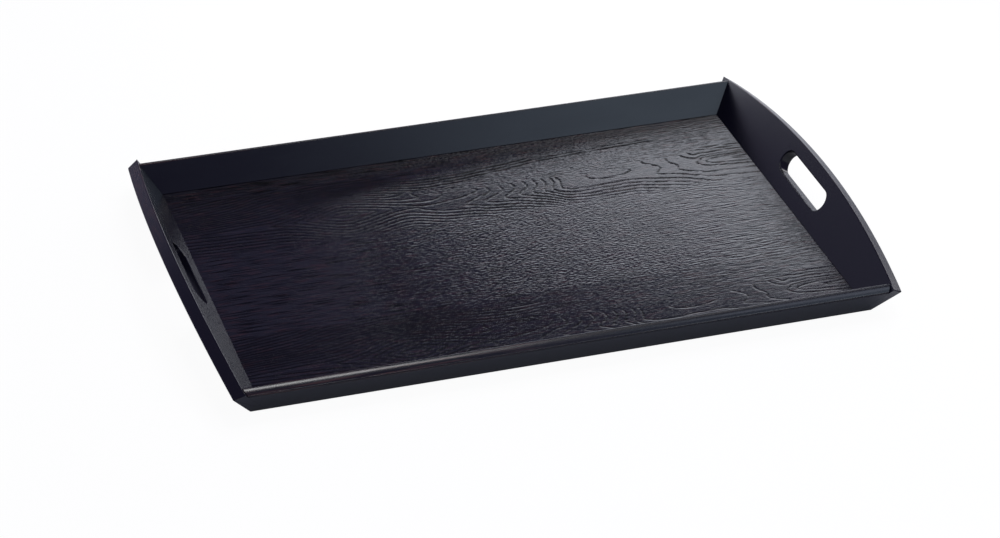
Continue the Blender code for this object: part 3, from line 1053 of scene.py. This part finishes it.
# %% [markdown]
# The long boards. Their section is a plank nine millimetres thick with a gently domed crest, cut level at
# the foot, with a rabbet that the floor panel sits in. It could be a cube that is cut and bevelled many
# times over, but a moulding is one section run along its length, so that is how it is made: a few points,
# one arc by spin, a face, and an extrusion. The two ends are then cut to the lean of the end boards, the
# thickness of a lacquer film short of them.

# %% Long boards
CREST_STEPS = 12
FILM_GAP = 0.04 * MM
CREST_ROUND = 1.0 * MM
BUTT_ROUND = 0.5 * MM
FOOT_ROUND = 0.4 * MM
JOINT_ROUND = 0.08 * MM


def draw_section(shape):
    """The moulding's section in the tray's own axes, as the back board stands."""
    half = LONG_THICKNESS / 2
    middle_height = LONG_HEIGHT - math.sqrt(CREST_RADIUS**2 - half**2)
    angle = 2 * math.asin(half / CREST_RADIUS)
    centre = (0, middle_height, half)
    first, last = spin_arc(shape, (0, LONG_HEIGHT, 0), centre, (1, 0, 0), angle, CREST_STEPS)
    bmesh.ops.transform(shape, matrix=board_place("back_board"), verts=shape.verts)
    foot = [
        (HALF_WIDTH + LONG_FOOT, 0),
        (RABBET_Y, 0),
        (RABBET_Y, RABBET_TOP),
        (HALF_WIDTH + GLUE_GAP * math.tan(FLARE), RABBET_TOP),
    ]
    for y, z in foot:
        corner = shape.verts.new((0, y, z))
        join(shape, last, corner)
        last = corner
    join(shape, last, first)
    join(shape, *shape.edges)


def make_long_board(name):
    shape = bmesh.new()
    draw_section(shape)
    half_run = HALF_LENGTH + OVERRUN
    bmesh.ops.translate(shape, vec=(-half_run, 0, 0), verts=shape.verts)
    run = bmesh.ops.extrude_face_region(shape, geom=shape.faces[:])
    bmesh.ops.translate(shape, vec=(2 * half_run, 0, 0), verts=only_verts(run["geom"]))
    for end_name in ("left_end_board", "right_end_board"):
        saw(shape, *board_plane(end_name, -FILM_GAP))
        join(shape, *open_edges(shape))
    bmesh.ops.recalc_face_normals(shape, faces=shape.faces)
    crest = FLOOR_TOP + LONG_HEIGHT / 2

    def along(edge):
        return abs(edge.verts[0].co.x - edge.verts[1].co.x) > HALF_LENGTH

    def on_crest(edge):
        return edge.calc_length() < 2 * LONG_THICKNESS / CREST_STEPS

    counts = [
        round_edges(shape, CREST_ROUND, lambda edge: along(edge) and middle(edge).z > crest),
        round_edges(shape, FOOT_ROUND, lambda edge: along(edge) and middle(edge).z < NEAR),
        round_edges(shape, JOINT_ROUND, along),
        round_edges(shape, BUTT_ROUND, lambda edge: middle(edge).z > RABBET_TOP + NEAR and on_crest(edge)),
        round_edges(shape, JOINT_ROUND, lambda edge: middle(edge).z > RABBET_TOP + NEAR),
    ]
    if name == "front_board":
        bmesh.ops.rotate(shape, verts=shape.verts, matrix=Matrix.Rotation(math.pi, 3, "Z"))
    print(name, "edges to round:", counts)
    return ease_edges(new_piece(name + "_shaped", shape, "black_lacquer", name))


for name in ("front_board", "back_board"):
    make_long_board(name).data.materials.append(FINISHES[name])

# %% [markdown]
# The end boards. Each is a plank with an arched top edge and a hand slot with round ends. On the bench it
# is two outlines, an arch and a stadium, both made by spinning a point, with the wood filled in between
# them. The fill is extruded to the board's thickness, stood in its place, and cut off flush with the long
# boards' outer faces and level with the ground.

# %% End boards
ARCH_STEPS = 72
SLOT_STEPS = 24
ARCH_ROUND = 1.0 * MM
SLOT_ROUND = 1.2 * MM
CROWDED = 3 * MM
SAME_WAY = 0.9999
RABBET_LINES = (
    ((0, 0, RABBET_TOP), (0, 0, 1)), ((0, RABBET_Y, 0), (0, 1, 0)), ((0, -RABBET_Y, 0), (0, 1, 0)),
)


def draw_end_board(shape):
    """The arch and the slot, flat on the bench, as two closed lines."""
    half_angle = math.asin((ARCH_REACH + OVERRUN) / ARCH_RADIUS)
    centre = Vector((0, CROWN_HEIGHT - ARCH_RADIUS, 0))
    start = centre + ARCH_RADIUS * Vector((-math.sin(half_angle), math.cos(half_angle), 0))
    arc = spin_arc(shape, start, centre, (0, 0, 1), -2 * half_angle, ARCH_STEPS)
    corners = [shape.verts.new((top.co.x, -OVERRUN, 0)) for top in arc]
    join(shape, arc[0], corners[0])
    join(shape, arc[1], corners[1])
    join(shape, *corners)
    slot_radius = SLOT_WIDTH / 2
    run = SLOT_LENGTH / 2 - slot_radius
    height = CROWN_HEIGHT - SLOT_BRIDGE - slot_radius
    ends = []
    for side in (1, -1):
        start = (side * run, height - side * slot_radius, 0)
        ends += spin_arc(shape, start, (side * run, height, 0), (0, 0, 1), math.pi, SLOT_STEPS)
    join(shape, ends[1], ends[2])
    join(shape, ends[3], ends[0])


def in_slot(edge):
    spot = middle(edge)
    return abs(spot.x) < SLOT_LENGTH / 2 and 0 < spot.y < CROWN_HEIGHT - SLOT_BRIDGE + NEAR


def faces_towards(shape, normal):
    return [face for face in shape.faces if face.normal.dot(normal) > SAME_WAY]


def open_edges_at(shape, axis, value):
    """The open edges that lie wholly at one value of X, Y or Z."""
    return [
        edge for edge in open_edges(shape)
        if all(abs(vert.co[axis] - value) < NEAR for vert in edge.verts)
    ]


def cut_rabbet(shape, side, inward):
    """Cuts the floor panel's seat out of an end board's foot, between the long boards."""
    for point, normal in RABBET_LINES:
        parts = set()
        for face in faces_towards(shape, inward):
            parts.update([face, *face.edges, *face.verts])
        bmesh.ops.bisect_plane(shape, geom=list(parts), dist=NEAR, plane_co=point, plane_no=normal)
    low = []
    for face in faces_towards(shape, inward):
        spot = face.calc_center_median()
        if spot.z < RABBET_TOP and abs(spot.y) < RABBET_Y:
            low.append(face)
    bmesh.ops.delete(shape, geom=low, context="FACES")
    lip = open_edges_at(shape, 2, RABBET_TOP)
    ceiling = bmesh.ops.extrude_edge_only(shape, edges=lip)["geom"]
    for vert in only_verts(ceiling):
        vert.co.x = side * RABBET_X
    rim = open_edges_at(shape, 0, side * RABBET_X)
    wall = bmesh.ops.extrude_edge_only(shape, edges=rim)["geom"]
    for vert in only_verts(wall):
        vert.co.z = 0
    for side_y in (-RABBET_Y, RABBET_Y):
        level = [vert for vert in shape.verts if abs(vert.co.y - side_y) < NEAR]
        ring = [vert for vert in level if vert.co.z < RABBET_TOP + NEAR and abs(vert.co.x) < RABBET_X + NEAR]
        join(shape, *[vert for vert in ring if abs(vert.co.z) < NEAR])
        join(shape, *ring)
    join(shape, *open_edges(shape))


def make_end_board(name):
    shape = bmesh.new()
    draw_end_board(shape)
    bmesh.ops.triangle_fill(shape, use_beauty=True, use_dissolve=True, edges=shape.edges[:])
    block = bmesh.ops.extrude_face_region(shape, geom=shape.faces[:])
    bmesh.ops.translate(shape, vec=(0, 0, END_THICKNESS), verts=only_verts(block["geom"]))
    bmesh.ops.recalc_face_normals(shape, faces=shape.faces)
    slot_count = round_edges(shape, SLOT_ROUND, in_slot)
    bmesh.ops.transform(shape, matrix=board_place(name), verts=shape.verts)
    for long_name in ("front_board", "back_board"):
        point, normal = board_plane(long_name, LONG_THICKNESS)
        saw(shape, point, normal)
        crowded = [vert for vert in shape.verts if NEAR < (point - vert.co).dot(normal) < CROWDED]
        bmesh.ops.dissolve_verts(shape, verts=crowded)
        join(shape, *open_edges(shape))
    saw(shape, (0, 0, 0), (0, 0, -1))
    bmesh.ops.recalc_face_normals(shape, faces=shape.faces)
    outward = board_plane(name, 0)[1]
    cut_rabbet(shape, 1 if outward.x > 0 else -1, -outward)
    bmesh.ops.recalc_face_normals(shape, faces=shape.faces)

    def inner(edge):
        point, normal = board_plane(name, 0)
        return abs((middle(edge) - point).dot(normal)) < NEAR

    crest = FLOOR_TOP + (LONG_HEIGHT + CORNER_STEP) * RISE_SHARE
    counts = [
        slot_count,
        round_edges(shape, FOOT_ROUND, lambda edge: middle(edge).z < NEAR),
        round_edges(shape, JOINT_ROUND, lambda edge: inner(edge) and middle(edge).z < crest - NEAR),
        round_edges(shape, ARCH_ROUND, lambda edge: middle(edge).z > RABBET_TOP),
    ]
    print(name, "edges to round:", counts)
    return ease_edges(new_piece(name + "_shaped", shape, "black_lacquer", name))


for name in ("left_end_board", "right_end_board"):
    make_end_board(name).data.materials.append(FINISHES[name])
